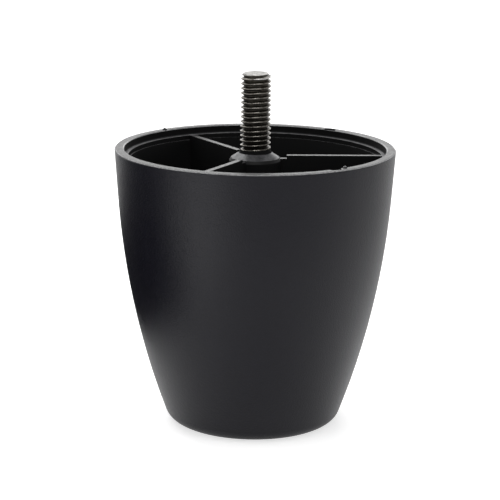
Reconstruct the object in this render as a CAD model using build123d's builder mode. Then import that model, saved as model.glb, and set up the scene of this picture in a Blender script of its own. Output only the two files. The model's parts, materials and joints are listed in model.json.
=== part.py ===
from build123d import *

import os
from math import cos, radians, sin, tan

# Sofa foot: a tapered round foot moulded in one piece, hollow and ribbed inside, with a threaded steel
# stud moulded into its middle. Millimetres, +Z up, origin at the middle of the base, first rib along +X.

# Outside of the foot
foot_height = 74.0
top_diameter = 74.0
base_diameter = 45.2
band_height = 13.3
band_draft = 4.0
base_edge_radius = 4.1
rim_edge_chamfer = 0.4

# Wall, floor and the stepped rebate inside the rim
wall = 3.5
core_knee = 0.5
floor_thickness = 4.0
floor_corner_chamfer = 2.0
rim_width = 2.5
rim_inner_chamfer = 0.25
rebate_depth = 2.1
land_height = 1.2
land_step = 0.15

# Ribs, central boss, and the conical collar and short neck around the stud
rib_count = 3
rib_thickness = 1.5
rib_draft = 0.4
rib_drop = 2.05
boss_diameter = 13.7
boss_draft = 0.5
boss_drop = 2.9
boss_edge_chamfer = 0.5
notch_width = 1.5
collar_height = 1.6
collar_land = 0.1
neck_height = 0.9
neck_wall = 0.05
neck_draft = 12.0

# Half-moon gate marks in the inner edge of the rim, by their angles about the foot
gate_mark_angles = (-57.0, 51.5)
gate_mark_radius = 1.75
gate_mark_depth = 0.3

# Stud: M8, its thread left as a plain cylinder of the outer diameter, on the shank that it is rolled on
stud_diameter = 8.0
shank_diameter = 7.2
stud_length = 50.0
stud_reach = 20.0
stud_end_chamfer = 0.6
anchor_height = 10.0
anchor_across_flats = 6.0

# Room that a cutting shape has past the face it cuts through
overshoot = 1.0

# Heights and radii worked out from the sizes above
top_radius = top_diameter / 2
base_radius = base_diameter / 2
band_slope = tan(radians(band_draft))
band_foot = foot_height - band_height
band_radius = top_radius - band_height * band_slope
ledge_level = foot_height - rebate_depth
land_foot = ledge_level - land_height
wall_across = wall / cos(radians(band_draft))
hollow_radius = top_radius - (foot_height - land_foot) * band_slope - wall_across
land_radius = hollow_radius + land_step
rim_inner_radius = top_radius - rim_width
rib_top = foot_height - rib_drop
rib_foot_thickness = rib_thickness + 2 * rib_top * tan(radians(rib_draft))
boss_radius = boss_diameter / 2
boss_top = foot_height - boss_drop
boss_foot_radius = boss_radius + boss_top * tan(radians(boss_draft))
notch_radius = boss_radius + notch_width
stud_radius = stud_diameter / 2
shank_radius = shank_diameter / 2
stud_end = foot_height + stud_reach
stud_foot = stud_end - stud_length
collar_top = boss_top + collar_height
neck_top = collar_top + neck_height
neck_radius = stud_radius + neck_wall
neck_foot_radius = neck_radius + neck_height * tan(radians(neck_draft))
collar_top_radius = neck_foot_radius + collar_land

# Upright plane through the middle of a bay, so that the seam of a turned face never falls on a rib
bay_angle = radians(180 / rib_count)
section = Plane(
    origin=(0, 0, 0),
    x_dir=(cos(bay_angle), sin(bay_angle), 0),
    z_dir=(sin(bay_angle), -cos(bay_angle), 0),
)

# Threaded stud: buried shank with two flats at its foot, and the thread that stands on the neck of the boss
with BuildPart() as threaded_stud:
    with BuildSketch(Plane.XY.offset(stud_foot)):
        Circle(shank_radius)
    extrude(amount=neck_top - stud_foot)
    with BuildSketch(Plane.XY.offset(neck_top)):
        Circle(stud_radius)
    extrude(amount=stud_end - neck_top)
    chamfer(threaded_stud.edges().sort_by(Axis.Z)[-1], stud_end_chamfer)
    with BuildSketch(Plane.XY.offset(stud_foot)):
        Circle(shank_radius)
        Rectangle(shank_diameter, anchor_across_flats, mode=Mode.SUBTRACT)
    extrude(amount=anchor_height, mode=Mode.SUBTRACT)

# Spider: the three ribs and the boss that they carry, with its collar and the neck that crept up the stud
with BuildPart() as spider:
    for number in range(rib_count):
        turn = radians(360 * number / rib_count)
        rib_section = Plane(origin=(0, 0, 0), x_dir=(-sin(turn), cos(turn), 0), z_dir=(cos(turn), sin(turn), 0))
        with BuildSketch(rib_section):
            Trapezoid(rib_foot_thickness, rib_top, 90 - rib_draft, align=(Align.CENTER, Align.MIN))
        extrude(amount=top_radius)
    with BuildSketch(Plane.XY.offset(boss_top)):
        Circle(notch_radius)
    extrude(amount=boss_drop, mode=Mode.SUBTRACT)
    with BuildSketch(section) as boss_half:
        with BuildLine():
            Polyline(
                (0, 0),
                (boss_foot_radius, 0),
                (boss_radius, boss_top),
                (collar_top_radius, collar_top),
                (neck_foot_radius, collar_top),
                (neck_radius, neck_top),
                (0, neck_top),
                close=True,
            )
        make_face()
        chamfer(boss_half.vertices().group_by(Axis.Y)[1], boss_edge_chamfer)
    revolve(axis=Axis.Z)

# Line of the outside, from the rim down: a drafted band, then one long arc tangent to it
with BuildLine() as outside:
    band = Line((top_radius, foot_height), (band_radius, band_foot))
    swell = TangentArc(band @ 1, (base_radius, 0), tangent=band % 1)


def inner_point(line, position):
    """Point of the inner face, square in from a place along a line of the outside."""
    return line @ position + (line % position).rotate(Axis.Z, -90) * wall


# Bays: the hollow that is left between the wall, the floor and the spider
with BuildPart() as bays:
    with BuildSketch(section) as hollow:
        with BuildLine():
            core = Polyline(
                inner_point(band, 0),
                inner_point(band, 1),
                inner_point(swell, core_knee),
                inner_point(swell, 1),
            )
            Polyline(core @ 1, (0, (core @ 1).Y), (0, (core @ 0).Y), core @ 0)
        make_face()
        with Locations((0, floor_thickness)):
            Rectangle(
                top_radius,
                land_foot - floor_thickness,
                align=(Align.MIN, Align.MIN),
                mode=Mode.INTERSECT,
            )
        chamfer(hollow.vertices().group_by(Axis.Y)[0].sort_by(Axis.X)[-1], floor_corner_chamfer)
        with Locations((0, land_foot)):
            Rectangle(land_radius, land_height, align=(Align.MIN, Align.MIN))
        with Locations((0, ledge_level)):
            Rectangle(rim_inner_radius, rebate_depth + overshoot, align=(Align.MIN, Align.MIN))
    revolve(axis=Axis.Z)
    add(spider.part, mode=Mode.SUBTRACT)

# Foot: the solid outside shape less its bays, the seat of the stud and the gate marks
with BuildPart() as foot_moulding:
    with BuildSketch(section) as half:
        with BuildLine():
            add(outside.line)
            Polyline((base_radius, 0), (0, 0), (0, foot_height), (top_radius, foot_height))
        make_face()
        fillet(half.vertices().group_by(Axis.Y)[0].sort_by(Axis.X)[-1], base_edge_radius)
        chamfer(half.vertices().group_by(Axis.Y)[-1].sort_by(Axis.X)[-1], rim_edge_chamfer)
    revolve(axis=Axis.Z)
    add(bays.part, mode=Mode.SUBTRACT)
    add(threaded_stud.part, mode=Mode.SUBTRACT)
    rim_face = foot_moulding.faces().filter_by(Axis.Z).sort_by(Axis.Z)[-1]
    chamfer(rim_face.inner_wires().edges(), rim_inner_chamfer)
    with BuildSketch(Plane.XY.offset(foot_height - gate_mark_depth)):
        for angle in gate_mark_angles:
            with PolarLocations(rim_inner_radius, 1, start_angle=angle):
                Circle(gate_mark_radius)
    extrude(amount=gate_mark_depth, mode=Mode.SUBTRACT)

foot_moulding.part.label = "foot_moulding"
threaded_stud.part.label = "threaded_stud"

os.makedirs("parts", exist_ok=True)
export_step(foot_moulding.part, "parts/foot_moulding.step")
export_step(threaded_stud.part, "parts/threaded_stud.step")
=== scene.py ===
import json
from math import atan2, cos, pi, radians, sin, tan

import bmesh
import bpy
from mathutils import Matrix, Vector


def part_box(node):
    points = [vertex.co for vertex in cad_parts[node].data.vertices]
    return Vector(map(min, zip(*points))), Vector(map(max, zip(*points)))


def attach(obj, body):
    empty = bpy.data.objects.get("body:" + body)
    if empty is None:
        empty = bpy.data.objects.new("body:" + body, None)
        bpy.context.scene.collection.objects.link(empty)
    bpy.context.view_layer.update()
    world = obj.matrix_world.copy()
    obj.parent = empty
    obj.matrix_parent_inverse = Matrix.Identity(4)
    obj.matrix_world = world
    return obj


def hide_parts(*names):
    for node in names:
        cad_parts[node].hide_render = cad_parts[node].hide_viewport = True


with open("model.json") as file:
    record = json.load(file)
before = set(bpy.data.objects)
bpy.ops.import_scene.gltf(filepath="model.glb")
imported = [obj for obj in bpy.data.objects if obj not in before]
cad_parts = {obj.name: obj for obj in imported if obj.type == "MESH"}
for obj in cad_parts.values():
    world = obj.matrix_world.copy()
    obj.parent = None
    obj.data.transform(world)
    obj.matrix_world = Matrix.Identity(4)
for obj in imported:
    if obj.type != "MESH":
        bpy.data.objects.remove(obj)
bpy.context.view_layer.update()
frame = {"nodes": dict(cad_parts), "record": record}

# Sofa foot: a black moulded foot, grained outside and smooth inside, with a rolled steel stud in it.
# Metres, +Z up, origin at the middle of the base.

MM = 0.001

# Places read from the frame
foot_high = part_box("foot_moulding")[1]
stud_low, stud_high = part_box("threaded_stud")
rim_level = foot_high.z
stud_mount = next(mount for mount in frame["record"]["mounts"] if mount["name"] == "stud")
thread_middle = stud_mount["pos_m"][2]
thread_length = stud_mount["dims"]["length_mm"] * MM
thread_foot = thread_middle - thread_length / 2
crest_radius = stud_mount["dims"]["r_mm"] * MM

# Rolled thread, M8 coarse, and its sawn end
thread_pitch = 1.25 * MM
thread_depth = 0.77 * MM
thread_phase = 0.67
crest_share = 0.16
root_share = 0.16
flank_rounding = 0.25
columns_per_turn = 128
rows_per_pitch = 16
end_radius = 3.3 * MM
end_chamfer = 0.6 * MM
end_drop = 0.42 * MM
end_slant = radians(2.5)
stud_sharp_angle = radians(38)

# Shank that is buried in the boss
shank_radius = 3.6 * MM
flats_height = 10.0 * MM
flats_half_width = 3.0 * MM

# Points of a mesh that are nearer than this become one
join_distance = 1e-7

# Nubs left at the gates: angle about the foot, radius, foot, height above the rim, width
gate_nubs = {
    "gate_nub_rear": (133.6, 35.2 * MM, 73.8 * MM, 0.45 * MM, 1.1 * MM),
    "gate_nub_front": (-52.0, 34.9 * MM, 73.6 * MM, 0.38 * MM, 1.25 * MM),
}

# Torn shape of a nub: shares of its height and its width, then how uneven its sides and its top are
nub_profile = ((0.0, 1.15), (0.45, 1.0), (0.8, 0.8), (1.0, 0.45))
nub_sides = 14
nub_three_lobes = 0.12
nub_three_lobes_twist = 5
nub_five_lobes = 0.07
nub_five_lobes_start = 2
nub_top_tilt = 0.1

# Camera that took the photograph
focal_pixels = 1800.0
image_pixels = 500.0
camera_sensor = 36.0
camera_near_clip = 0.01
camera_turn = radians(-1.9)
camera_distance = 466.4 * MM
camera_height = 161.0 * MM
camera_pitch = radians(13.839)
camera_yaw = radians(-0.136) - camera_turn
camera_roll = radians(0.62)

# Paper floor, and how brightly it glows: for the camera, then in reflections near the foot, in front of it
# and behind it. Half of the way to the left counts as the way behind.
floor_half = 4.0
floor_white = (0.72, 0.72, 0.72, 1.0)
floor_glow = 0.70
floor_glow_reflected = 0.58
floor_glow_front = 0.40
floor_glow_behind = 0.24
floor_front_bounds = (-50.0 * MM, -190.0 * MM)
floor_behind_bounds = (0.0, 90.0 * MM)
floor_leftward_share = -0.5

# Light of the air round the stage, by how far a direction points up and to the front
side_light = 0.48
zenith_light = 0.13
front_light = 0.18
zenith_bounds = (0.45, 0.85)
front_bounds = (-0.2, -0.8)
air_white = (1.0, 1.0, 1.0, 1.0)

# Dark cloth on the floor, by its corners
cloth_corners = (
    (-0.080, -0.07),
    (-0.067, 0.0),
    (-0.052, 0.06),
    (-0.054, 0.228),
    (-0.60, 0.228),
    (-0.60, -0.07),
)
cloth_height = 0.5 * MM
cloth_black = (0.012, 0.012, 0.013, 1.0)

# Lamps: place, what each points at, width, height and the radiance of its face
rim_middle = (0.0, 0.0, rim_level)
softboxes = {
    "overhead_softbox": ((0.0, -0.26, 0.86), rim_middle, 0.46, 0.26, 7.0),
    "floor_panel": ((-0.16, -0.17, 0.004), (-0.16, -0.17, 1.0), 0.18, 0.18, 1.65),
    "rear_softbox": ((0.0, 1.6, 0.50), rim_middle, 2.4, 0.96, 1.5),
    "rear_top_softbox": ((-0.14, 0.62, 0.82), rim_middle, 1.0, 0.45, 5.5),
}


class Tree:
    """Short way to add nodes to a node tree and join them."""

    def __init__(self, tree):
        """Keep the node tree that the other methods work on."""
        self.tree = tree

    def add(self, kind, settings=None, **inputs):
        """New node with the given settings, and with values or links at its inputs."""
        node = self.tree.nodes.new(kind)
        for name, value in (settings or {}).items():
            setattr(node, name, value)
        for name, value in inputs.items():
            self.feed(node.inputs[self.socket_index(node, name)], value)
        return node

    def socket_index(self, node, name):
        """Index of an input that is given by its name, with underscores, or as in0, in1 by its place."""
        if name.startswith("in") and name[2:].isdigit():
            return int(name[2:])
        wanted = name.replace("_", " ").lower()
        return next(i for i, socket in enumerate(node.inputs) if socket.name.lower() == wanted)

    def feed(self, socket, value):
        """Link an output to a socket, or set the socket to a plain value."""
        if isinstance(value, bpy.types.NodeSocket):
            self.tree.links.new(value, socket)
        else:
            socket.default_value = value

    def math(self, operation, first, second=0.0):
        """Number worked out from one or two numbers."""
        node = self.add("ShaderNodeMath", {"operation": operation}, in0=first, in1=second)
        return node.outputs[0]

    def overlap(self, first, *others):
        """Mask of what lies in all of the masks."""
        for other in others:
            first = self.math("MULTIPLY", first, other)
        return first

    def vector(self, operation, first, second=(0.0, 0.0, 0.0)):
        """Node that works on one or two vectors."""
        return self.add("ShaderNodeVectorMath", {"operation": operation}, in0=first, in1=second)

    def axes(self, value):
        """The X, Y and Z outputs of a vector."""
        return self.add("ShaderNodeSeparateXYZ", vector=value).outputs

    def ramp(self, value, low, high):
        """Smooth step from 0 to 1 while value goes from low to high."""
        settings = {"interpolation_type": "SMOOTHSTEP"}
        node = self.add("ShaderNodeMapRange", settings, value=value, from_min=low, from_max=high)
        return node.outputs[0]

    def blend(self, share, first, second):
        """Number between first and second."""
        node = self.add("ShaderNodeMix", {"data_type": "FLOAT"}, in0=share, in2=first, in3=second)
        return node.outputs[0]

    def tint(self, share, first, second):
        """Colour between first and second."""
        node = self.add("ShaderNodeMix", {"data_type": "RGBA"}, in0=share, in6=first, in7=second)
        return node.outputs[2]

    def noise(self, place, size, detail, roughness):
        """Cloudy pattern whose patches are about size across."""
        pattern = {"scale": 1.0 / size, "detail": detail, "roughness": roughness}
        return self.add("ShaderNodeTexNoise", vector=place, **pattern).outputs["Fac"]


def new_material(name):
    """Material with an empty node tree, and the short way into that tree."""
    material = bpy.data.materials.new(name)
    material.use_nodes = True
    tree = material.node_tree
    tree.nodes.clear()
    return material, Tree(tree)


def close_material(tree, shader):
    """Lead a shader to the surface of its material."""
    tree.add("ShaderNodeOutputMaterial", surface=shader.outputs[0])


# Patches of the mottle: detail of their noise, share of the coarse ones, and bounds of the mask
mottle_detail = 2.0
mottle_coarse_share = 0.4
mottle_bounds = (0.38, 0.62)


def mottle_group():
    """Uneven sheen of a surface: patches of two sizes, as a mask and as a height."""
    group = bpy.data.node_groups.new("mottle", "ShaderNodeTree")
    group.interface.new_socket("Position", in_out="INPUT", socket_type="NodeSocketVector")
    group.interface.new_socket("Fine Size", in_out="INPUT", socket_type="NodeSocketFloat")
    group.interface.new_socket("Coarse Size", in_out="INPUT", socket_type="NodeSocketFloat")
    group.interface.new_socket("Mask", in_out="OUTPUT", socket_type="NodeSocketFloat")
    group.interface.new_socket("Height", in_out="OUTPUT", socket_type="NodeSocketFloat")
    tree = Tree(group)
    inputs = tree.add("NodeGroupInput").outputs
    outputs = tree.add("NodeGroupOutput").inputs
    patterns = []
    for size in ("Fine Size", "Coarse Size"):
        scale = tree.math("DIVIDE", 1.0, inputs[size])
        pattern = {"scale": scale, "detail": mottle_detail}
        noise = tree.add("ShaderNodeTexNoise", vector=inputs["Position"], **pattern)
        patterns.append(noise.outputs["Fac"])
    both = tree.blend(mottle_coarse_share, patterns[0], patterns[1])
    tree.feed(outputs["Mask"], tree.ramp(both, *mottle_bounds))
    tree.feed(outputs["Height"], both)
    return group


mottle = mottle_group()


def add_mottle(tree, place, fine, coarse):
    """Mask and height of the mottle with patches of the two given sizes."""
    sizes = {"fine_size": fine, "coarse_size": coarse}
    node = tree.add("ShaderNodeGroup", {"node_tree": mottle}, position=place, **sizes)
    return node.outputs["Mask"], node.outputs["Height"]


# Bounds of the foot's surfaces: where each mask is 0, then where it is 1
outside_facing = (0.2, 0.5)
outside_radii = (16.0 * MM, 17.0 * MM)
underside_facing = (-0.3, -0.7)
top_facing = (0.55, 0.68)
top_heights = (62.0 * MM, 66.0 * MM)
top_below_nubs = (rim_level + 0.12 * MM, rim_level + 0.04 * MM)
top_radii = (36.88 * MM, 36.80 * MM)
edge_radii = (36.56 * MM, 36.64 * MM)
rim_flat_heights = (rim_level - 0.10 * MM, rim_level - 0.04 * MM)
lip_radii = (34.80 * MM, 34.70 * MM)
lip_facing = (0.4, 0.6)
lip_heights = (rim_level - 0.32 * MM, rim_level - 0.26 * MM)
ledge_radii = (32.9 * MM, 33.0 * MM)
ledge_heights = (rim_level - 1.0 * MM, rim_level - 1.5 * MM)
rebate_facing = (-0.3, -0.8)
rebate_radii = (34.2 * MM, 34.4 * MM)
corner_heights = (rim_level - 1.70 * MM, rim_level - 2.05 * MM)
collar_radii = (7.1 * MM, 6.9 * MM)
collar_facing = (0.6, 0.75)
collar_heights = (66.0 * MM, 68.0 * MM)
gate_radii = (34.4 * MM, 34.5 * MM)
gate_facing = (0.85, 0.95)
gate_heights = (rim_level - 0.12 * MM, rim_level - 0.24 * MM)
neck_radii = (4.40 * MM, 4.32 * MM)
neck_heights = (72.5 * MM, 72.7 * MM)

# Colours of the plastic, as one colour or as those of dark and light patches
outside_black = ((0.0034, 0.0032, 0.0076, 1.0), (0.0056, 0.0053, 0.0108, 1.0))
top_black = ((0.010, 0.010, 0.010, 1.0), (0.036, 0.036, 0.036, 1.0))
# Painted sheen on the collar cone
collar_painted_sheen = ((0.045, 0.045, 0.048, 1.0), (0.085, 0.085, 0.090, 1.0))
# Painted highlight on the ledge inside the rim
ledge_painted_highlight = ((0.125, 0.125, 0.128, 1.0), (0.250, 0.250, 0.255, 1.0))
# Painted highlight along the rim's outer chamfer
edge_painted_highlight = ((0.260, 0.260, 0.263, 1.0), (0.440, 0.440, 0.445, 1.0))
# Whitened flash with a painted highlight along the rim's inner chamfer
lip_flash_and_painted_highlight = ((0.200, 0.200, 0.203, 1.0), (0.310, 0.310, 0.314, 1.0))
bay_black = (0.0110, 0.0110, 0.0115, 1.0)
# Painted shade in the gate pockets, the neck and the rebate wall
dull_black = (0.0040, 0.0040, 0.0042, 1.0)
# Painted highlight along the foot of the rebate wall
corner_painted_highlight = (0.080, 0.080, 0.083, 1.0)

# Roughness of the plastic, as one value or as that of two kinds of patch
outside_roughness = (0.32, 0.44)
top_roughness = (0.28, 0.44)
rim_flat_roughness = (0.34, 0.46)
bay_roughness = (0.38, 0.52)
edge_roughness = 0.65
dull_roughness = 0.85
lip_roughness = 0.26
plastic_specular = 0.27

# Texture of the plastic: size, detail and roughness of its noise, patches of the mottle, and the relief
grain_noise = (0.42 * MM, 2.0, 0.6)
drift_noise = (9.0 * MM, 3.0, 0.5)
plastic_patches = (0.55 * MM, 1.6 * MM)
grain_relief = 2.0
mottle_relief = 0.3
plastic_bump_strength = 0.35
plastic_bump_depth = 0.12 * MM


def foot_surfaces(tree):
    """Masks of the foot's surfaces, by where they lie and which way they face."""
    geometry = tree.add("ShaderNodeNewGeometry").outputs
    outward = tree.vector("MULTIPLY", geometry["Position"], (1.0, 1.0, 0.0)).outputs[0]
    radius = tree.vector("LENGTH", outward).outputs["Value"]
    outward = tree.vector("NORMALIZE", outward).outputs[0]
    faces_out = tree.vector("DOT_PRODUCT", geometry["Normal"], outward).outputs["Value"]
    upright = tree.axes(geometry["Normal"])["Z"]
    height = tree.axes(geometry["Position"])["Z"]

    outside = tree.overlap(tree.ramp(faces_out, *outside_facing), tree.ramp(radius, *outside_radii))
    outside = tree.math("MAXIMUM", outside, tree.ramp(upright, *underside_facing))
    top = tree.overlap(
        tree.ramp(upright, *top_facing),
        tree.ramp(height, *top_heights),
        tree.ramp(height, *top_below_nubs),
        tree.ramp(radius, *top_radii),
    )
    lip = tree.overlap(
        tree.ramp(radius, *lip_radii),
        tree.ramp(upright, *lip_facing),
        tree.ramp(height, *lip_heights),
    )
    ledge = tree.overlap(top, tree.ramp(radius, *ledge_radii), tree.ramp(height, *ledge_heights))
    collar = tree.overlap(
        tree.ramp(radius, *collar_radii),
        tree.ramp(upright, *collar_facing),
        tree.ramp(height, *collar_heights),
    )
    gate = tree.overlap(
        tree.ramp(radius, *gate_radii),
        tree.ramp(upright, *gate_facing),
        tree.ramp(height, *gate_heights),
    )
    neck = tree.overlap(tree.ramp(radius, *neck_radii), tree.ramp(height, *neck_heights))
    rebate = tree.overlap(tree.ramp(faces_out, *rebate_facing), tree.ramp(radius, *rebate_radii))
    return {
        "outside": outside,
        "top": top,
        "edge": tree.overlap(top, tree.ramp(radius, *edge_radii)),
        "rim_flat": tree.overlap(top, tree.ramp(height, *rim_flat_heights)),
        "lip": lip,
        "ledge": ledge,
        "collar": collar,
        # Gate pockets, neck round the stud and rebate wall: matte, and painted with shade
        "dull": tree.math("MAXIMUM", tree.math("MAXIMUM", gate, neck), rebate),
        "corner": tree.overlap(rebate, tree.ramp(height, *corner_heights)),
    }


def foot_plastic_material():
    """Black plastic, grained outside, mottled on faces that look up, smooth in bays, with painted
    highlight, sheen and shade.
    """
    material, tree = new_material("foot_plastic_moulded")
    place = tree.add("ShaderNodeNewGeometry").outputs["Position"]
    surface = foot_surfaces(tree)
    grain = tree.noise(place, *grain_noise)
    drift = tree.noise(place, *drift_noise)
    mottled, mottle_height = add_mottle(tree, place, *plastic_patches)

    colour = tree.tint(surface["outside"], bay_black, tree.tint(drift, *outside_black))
    colour = tree.tint(surface["top"], colour, tree.tint(mottled, *top_black))
    # Painted sheen: lighter grey mottle on the collar cone where it faces up.
    colour = tree.tint(surface["collar"], colour, tree.tint(mottled, *collar_painted_sheen))
    # Painted highlight: light grey mottle on the ledge where it faces up.
    colour = tree.tint(surface["ledge"], colour, tree.tint(mottled, *ledge_painted_highlight))
    # Painted highlight: light grey mottle along the rim's outer chamfer.
    colour = tree.tint(surface["edge"], colour, tree.tint(mottled, *edge_painted_highlight))
    # Painted shade: the gate pockets, the neck and the rebate wall are painted darker than the bays.
    colour = tree.tint(surface["dull"], colour, dull_black)
    # Painted highlight: a grey band along the foot of the rebate wall.
    colour = tree.tint(surface["corner"], colour, corner_painted_highlight)
    # Whitened flash with a painted highlight: light grey mottle along the rim's inner chamfer.
    colour = tree.tint(surface["lip"], colour, tree.tint(mottled, *lip_flash_and_painted_highlight))

    grained = tree.blend(grain, *outside_roughness)
    roughness = tree.blend(surface["outside"], tree.blend(drift, *bay_roughness), grained)
    roughness = tree.blend(surface["top"], roughness, tree.blend(mottled, *top_roughness))
    roughness = tree.blend(surface["rim_flat"], roughness, tree.blend(mottled, *rim_flat_roughness))
    roughness = tree.blend(surface["edge"], roughness, edge_roughness)
    roughness = tree.blend(surface["dull"], roughness, dull_roughness)
    roughness = tree.blend(surface["lip"], roughness, lip_roughness)

    outside_relief = tree.math("MULTIPLY", surface["outside"], grain_relief)
    outside_relief = tree.math("MULTIPLY", grain, outside_relief)
    top_relief = tree.math("MULTIPLY", surface["top"], mottle_relief)
    top_relief = tree.math("MULTIPLY", mottle_height, top_relief)
    bump = tree.add(
        "ShaderNodeBump",
        strength=plastic_bump_strength,
        distance=plastic_bump_depth,
        height=tree.math("ADD", outside_relief, top_relief),
    )

    shader = tree.add(
        "ShaderNodeBsdfPrincipled",
        base_color=colour,
        roughness=roughness,
        specular_ior_level=plastic_specular,
        normal=bump.outputs[0],
    )
    close_material(tree, shader)
    return material


# Bounds of the stud's surfaces: where each mask is 0, then where it is 1
crest_radii = (crest_radius - 0.28 * MM, crest_radius - 0.05 * MM)
sawn_facing = (0.35, 0.55)
sawn_heights = (stud_high.z - 1.15 * MM, stud_high.z - 0.95 * MM)
first_turn_heights = (stud_high.z - 1.75 * MM, stud_high.z - 1.55 * MM)
# Side of the first turn that carries the painted highlight
first_turn_highlight_reach = (-1.2 * MM, 1.2 * MM)

# Colours of the steel, as one colour or as those of dark and light patches
worn_steel = ((0.17, 0.16, 0.14, 1.0), (0.32, 0.30, 0.27, 1.0))
oily_steel = ((0.050, 0.045, 0.037, 1.0), (0.105, 0.094, 0.079, 1.0))
sawn_steel = ((0.060, 0.057, 0.052, 1.0), (0.28, 0.272, 0.257, 1.0))
# Painted highlight on the first turn's crests
first_turn_painted_highlight = (0.80, 0.785, 0.76, 1.0)

# Roughness and texture of the steel
crest_roughness = (0.22, 0.36)
groove_roughness = 0.40
sawn_roughness = 0.42
steel_patches = (0.30 * MM, 1.1 * MM)
steel_bump_strength = 0.25
steel_bump_depth = 0.05 * MM


def stud_steel_material():
    """Rolled steel: worn crests, brown oily grooves, a sawn end and a painted highlight on one side of the
    first turn.
    """
    material, tree = new_material("stud_steel_rolled")
    geometry = tree.add("ShaderNodeNewGeometry").outputs
    place = geometry["Position"]
    outward = tree.vector("MULTIPLY", place, (1.0, 1.0, 0.0)).outputs[0]
    radius = tree.vector("LENGTH", outward).outputs["Value"]
    upright = tree.axes(geometry["Normal"])["Z"]
    position = tree.axes(place)

    crest = tree.ramp(radius, *crest_radii)
    sawn = tree.overlap(tree.ramp(upright, *sawn_facing), tree.ramp(position["Z"], *sawn_heights))
    first_turn = tree.ramp(position["Z"], *first_turn_heights)
    first_turn_highlight = tree.overlap(crest, first_turn, tree.ramp(position["X"], *first_turn_highlight_reach))
    mottled, mottle_height = add_mottle(tree, place, *steel_patches)

    colour = tree.tint(crest, tree.tint(mottled, *oily_steel), tree.tint(mottled, *worn_steel))
    # Painted highlight: near-white steel on the crests of the first turn, on its +X side.
    colour = tree.tint(first_turn_highlight, colour, first_turn_painted_highlight)
    colour = tree.tint(sawn, colour, tree.tint(mottled, *sawn_steel))
    roughness = tree.blend(crest, groove_roughness, tree.blend(mottled, *crest_roughness))
    roughness = tree.blend(sawn, roughness, sawn_roughness)
    bump = tree.add(
        "ShaderNodeBump",
        strength=steel_bump_strength,
        distance=steel_bump_depth,
        height=mottle_height,
    )

    shader = tree.add(
        "ShaderNodeBsdfPrincipled",
        base_color=colour,
        roughness=roughness,
        metallic=1.0,
        normal=bump.outputs[0],
    )
    close_material(tree, shader)
    return material


foot_plastic = foot_plastic_material()
stud_steel = stud_steel_material()


def new_piece(name, mesh, material):
    """Piece of the foot that stays with its one body."""
    piece = bpy.data.objects.new(name, mesh)
    bpy.context.scene.collection.objects.link(piece)
    mesh.materials.append(material)
    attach(piece, "root")
    return piece


def join_rings(work, lower, upper):
    """Faces between two closed rings of as many points."""
    count = len(lower)
    for here in range(count):
        beside = (here + 1) % count
        work.faces.new((lower[here], lower[beside], upper[beside], upper[here]))


def smooth_mesh(work, name):
    """Finished mesh with its faces turned outward and shaded smooth."""
    bmesh.ops.recalc_face_normals(work, faces=work.faces)
    mesh = bpy.data.meshes.new(name)
    work.to_mesh(mesh)
    work.free()
    mesh.shade_smooth()
    return mesh


def end_level(angle):
    """Height of the sawn end, which is a little out of square, at its edge."""
    return stud_high.z - end_drop + end_radius * tan(end_slant) * sin(angle)


def thread_radius(angle, height):
    """Radius of the rolled thread at an angle and a height, with its chamfered end."""
    turn = ((height - thread_foot) / thread_pitch - angle / (2 * pi) + thread_phase) % 1.0
    from_crest = min(turn, 1.0 - turn)
    flank = 0.5 - crest_share / 2 - root_share / 2
    drop = min(max((from_crest - crest_share / 2) / flank, 0.0), 1.0)
    rounded = drop * drop * (3 - 2 * drop)
    drop = rounded * flank_rounding + drop * (1 - flank_rounding)
    radius = crest_radius - thread_depth * drop
    share = (end_level(angle) - height) / end_chamfer
    return min(radius, end_radius + (crest_radius - end_radius) * share)


def round_shank(angle):
    """Radius of the buried shank above its flats, the same at every angle."""
    return shank_radius


def flattened_shank(angle):
    """Radius of the buried shank at its two flats."""
    if abs(sin(angle)) * shank_radius < flats_half_width:
        return shank_radius
    return flats_half_width / abs(sin(angle))


def turn_of(vert):
    """Angle of a point about the stud, from 0 to a full turn."""
    return atan2(vert.co.y, vert.co.x) % (2 * pi)


def add_ring(work, angles, height, radius_of):
    """Ring of points at a height, with a radius for each angle."""
    return [
        work.verts.new((radius_of(angle) * cos(angle), radius_of(angle) * sin(angle), height))
        for angle in angles
    ]


def add_thread(work, angles):
    """Skin of the thread in rows that follow the helix, cut off at both ends. Gives its two end rings."""
    turns = (stud_high.z - thread_foot) / thread_pitch
    row_count = int(turns * rows_per_pitch) + 2 * rows_per_pitch
    grid = []
    for column, angle in enumerate(angles):
        lead = thread_pitch * (column / columns_per_turn - 1.0)
        line = []
        for row in range(row_count + 1):
            height = thread_foot + lead + thread_pitch * row / rows_per_pitch
            height = min(max(height, thread_foot), end_level(angle))
            radius = thread_radius(angle, height)
            line.append(work.verts.new((radius * cos(angle), radius * sin(angle), height)))
        grid.append(line)
    for column in range(columns_per_turn):
        last = column == columns_per_turn - 1
        here = grid[column]
        beside = grid[0] if last else grid[column + 1]
        shift = rows_per_pitch if last else 0
        for row in range(row_count):
            low = beside[min(row + shift, row_count)]
            high = beside[min(row + 1 + shift, row_count)]
            corners = [here[row], low, high, here[row + 1]]
            if low is high:
                corners.pop(2)
            work.faces.new(corners)
    bmesh.ops.remove_doubles(work, verts=work.verts, dist=join_distance)
    bmesh.ops.dissolve_degenerate(work, edges=work.edges, dist=join_distance)
    lower_ring = [vert for vert in work.verts if vert.co.z < thread_foot + join_distance]
    upper_ring = [vert for vert in work.verts if vert.co.z > end_level(turn_of(vert)) - join_distance]
    return sorted(lower_ring, key=turn_of), sorted(upper_ring, key=turn_of)


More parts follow.
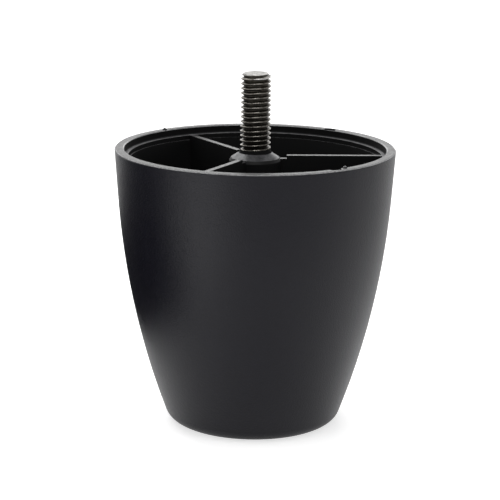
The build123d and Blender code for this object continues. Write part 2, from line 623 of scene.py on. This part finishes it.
def build_threaded_stud():
    """Stud as one closed mesh: the rolled thread, the shank below it and the flats at its foot."""
    work = bmesh.new()
    angles = [2 * pi * column / columns_per_turn for column in range(columns_per_turn)]
    thread_bottom, thread_top = add_thread(work, angles)
    flats_level = stud_low.z + flats_height
    rings = (
        thread_bottom,
        add_ring(work, angles, thread_foot, round_shank),
        add_ring(work, angles, flats_level, round_shank),
        add_ring(work, angles, flats_level, flattened_shank),
        add_ring(work, angles, stud_low.z, flattened_shank),
    )
    for upper, lower in zip(rings, rings[1:]):
        join_rings(work, lower, upper)
    work.faces.new(thread_top)
    work.faces.new(list(reversed(rings[-1])))
    bmesh.ops.remove_doubles(work, verts=work.verts, dist=join_distance)
    mesh = smooth_mesh(work, "threaded_stud_rolled")
    mesh.set_sharp_from_angle(angle=stud_sharp_angle)
    piece = new_piece("threaded_stud_rolled", mesh, stud_steel)
    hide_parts("threaded_stud")


def build_gate_nub(name, angle, radius, foot, stand, width):
    """Torn stub of plastic where a gate was broken off: a small lump, wider at its foot."""
    work = bmesh.new()
    height = rim_level + stand - foot
    centre = Vector((radius * cos(radians(angle)), radius * sin(radians(angle)), foot))
    rings = []
    for rise, share in nub_profile:
        ring = []
        for side in range(nub_sides):
            turn = 2 * pi * side / nub_sides
            three_lobes = nub_three_lobes * sin(3 * turn + nub_three_lobes_twist * rise)
            five_lobes = nub_five_lobes * sin(5 * turn + nub_five_lobes_start)
            reach = width / 2 * share * (1.0 + three_lobes + five_lobes)
            level = height * rise * (1 + nub_top_tilt * sin(turn) * rise)
            ring.append(work.verts.new(centre + Vector((reach * cos(turn), reach * sin(turn), level))))
        rings.append(ring)
    for lower, upper in zip(rings, rings[1:]):
        join_rings(work, lower, upper)
    work.faces.new(rings[-1])
    work.faces.new(list(reversed(rings[0])))
    new_piece(name, smooth_mesh(work, name), foot_plastic)


def dress_foot():
    """Black plastic on the moulding itself, whose shape stays as it was packed."""
    foot = frame["nodes"]["foot_moulding"]
    foot.data.materials.clear()
    foot.data.materials.append(foot_plastic)


def new_sheet(name, corners, height, material):
    """Flat level sheet for the stage."""
    mesh = bpy.data.meshes.new(name)
    mesh.from_pydata([(x, y, height) for x, y in corners], [], [tuple(range(len(corners)))])
    mesh.materials.append(material)
    sheet = bpy.data.objects.new(name, mesh)
    bpy.context.scene.collection.objects.link(sheet)
    return sheet


def build_floor():
    """White paper floor: it glows for the camera, less so in reflections, and keeps the foot's shadow."""
    material, tree = new_material("studio_paper")
    path = tree.add("ShaderNodeLightPath").outputs
    seen = tree.math("MULTIPLY", path["Is Camera Ray"], floor_glow)
    position = tree.axes(tree.add("ShaderNodeNewGeometry").outputs["Position"])
    front = tree.ramp(position["Y"], *floor_front_bounds)
    leftward = tree.math("MAXIMUM", tree.math("MULTIPLY", position["X"], floor_leftward_share), 0.0)
    behind = tree.ramp(tree.math("ADD", position["Y"], leftward), *floor_behind_bounds)
    level = tree.blend(front, floor_glow_reflected, floor_glow_front)
    level = tree.blend(behind, level, floor_glow_behind)
    reflected = tree.math("MULTIPLY", path["Is Glossy Ray"], level)
    glow = tree.add("ShaderNodeEmission", strength=tree.math("MAXIMUM", seen, reflected))
    paper = tree.add("ShaderNodeBsdfDiffuse", color=floor_white)
    both = tree.add("ShaderNodeAddShader", in0=glow.outputs[0], in1=paper.outputs[0])
    close_material(tree, both)
    square = ((-1, -1), (1, -1), (1, 1), (-1, 1))
    corners = [(x * floor_half, y * floor_half) for x, y in square]
    floor = new_sheet("studio_floor", corners, 0.0, material)


def build_world():
    """White air for the camera, and for the foot a soft light from the sides, weaker above and in front."""
    world = bpy.data.worlds.new("studio_air")
    world.use_nodes = True
    tree = Tree(world.node_tree)
    world.node_tree.nodes.clear()
    direction = tree.axes(tree.add("ShaderNodeTexCoord").outputs["Generated"])
    level = tree.blend(tree.ramp(direction["Z"], *zenith_bounds), side_light, zenith_light)
    level = tree.blend(tree.ramp(direction["Y"], *front_bounds), level, front_light)
    path = tree.add("ShaderNodeLightPath").outputs
    level = tree.blend(path["Is Camera Ray"], level, 1.0)
    background = tree.add("ShaderNodeBackground", color=air_white, strength=level)
    tree.add("ShaderNodeOutputWorld", surface=background.outputs[0])
    bpy.context.scene.world = world


def add_softbox(name, place, aim, width, height, radiance):
    """Rectangular lamp whose face has the given radiance."""
    data = bpy.data.lights.new(name, "AREA")
    data.shape = "RECTANGLE"
    data.size = width
    data.size_y = height
    data.energy = radiance * width * height * pi
    lamp = bpy.data.objects.new(name, data)
    lamp.location = place
    lamp.rotation_euler = (Vector(aim) - Vector(place)).to_track_quat("-Z", "Y").to_euler()
    lamp.visible_camera = False
    bpy.context.scene.collection.objects.link(lamp)


def build_dark_cloth():
    """Dark cloth beside the foot, seen only as the long dark reflection down the left of its wall."""
    material, tree = new_material("studio_cloth")
    close_material(tree, tree.add("ShaderNodeBsdfDiffuse", color=cloth_black))
    cloth = new_sheet("studio_cloth", cloth_corners, cloth_height, material)
    cloth.visible_camera = False
    cloth.visible_diffuse = False
    cloth.visible_shadow = False


def build_camera():
    """Camera at the place, with the aim and the lens of the photograph."""
    place = Vector((
        camera_distance * sin(camera_turn),
        -camera_distance * cos(camera_turn),
        camera_height,
    ))
    forward = Vector((
        sin(camera_yaw) * cos(camera_pitch),
        cos(camera_yaw) * cos(camera_pitch),
        -sin(camera_pitch),
    ))
    level_right = Vector((cos(camera_yaw), -sin(camera_yaw), 0.0))
    level_up = level_right.cross(forward)
    right = cos(camera_roll) * level_right + sin(camera_roll) * level_up
    up = cos(camera_roll) * level_up - sin(camera_roll) * level_right
    turn = Matrix((right, up, -forward)).transposed()
    data = bpy.data.cameras.new("photograph_camera")
    data.sensor_width = camera_sensor
    data.lens = focal_pixels / image_pixels * camera_sensor
    data.clip_start = camera_near_clip
    camera = bpy.data.objects.new("photograph_camera", data)
    camera.matrix_world = Matrix.Translation(place) @ turn.to_4x4()
    bpy.context.scene.collection.objects.link(camera)
    bpy.context.scene.camera = camera


dress_foot()
build_threaded_stud()
for nub_name, nub_values in gate_nubs.items():
    build_gate_nub(nub_name, *nub_values)
build_floor()
build_world()
for lamp_name, lamp_values in softboxes.items():
    add_softbox(lamp_name, *lamp_values)
build_dark_cloth()
build_camera()
bpy.context.scene.view_settings.view_transform = "Standard"
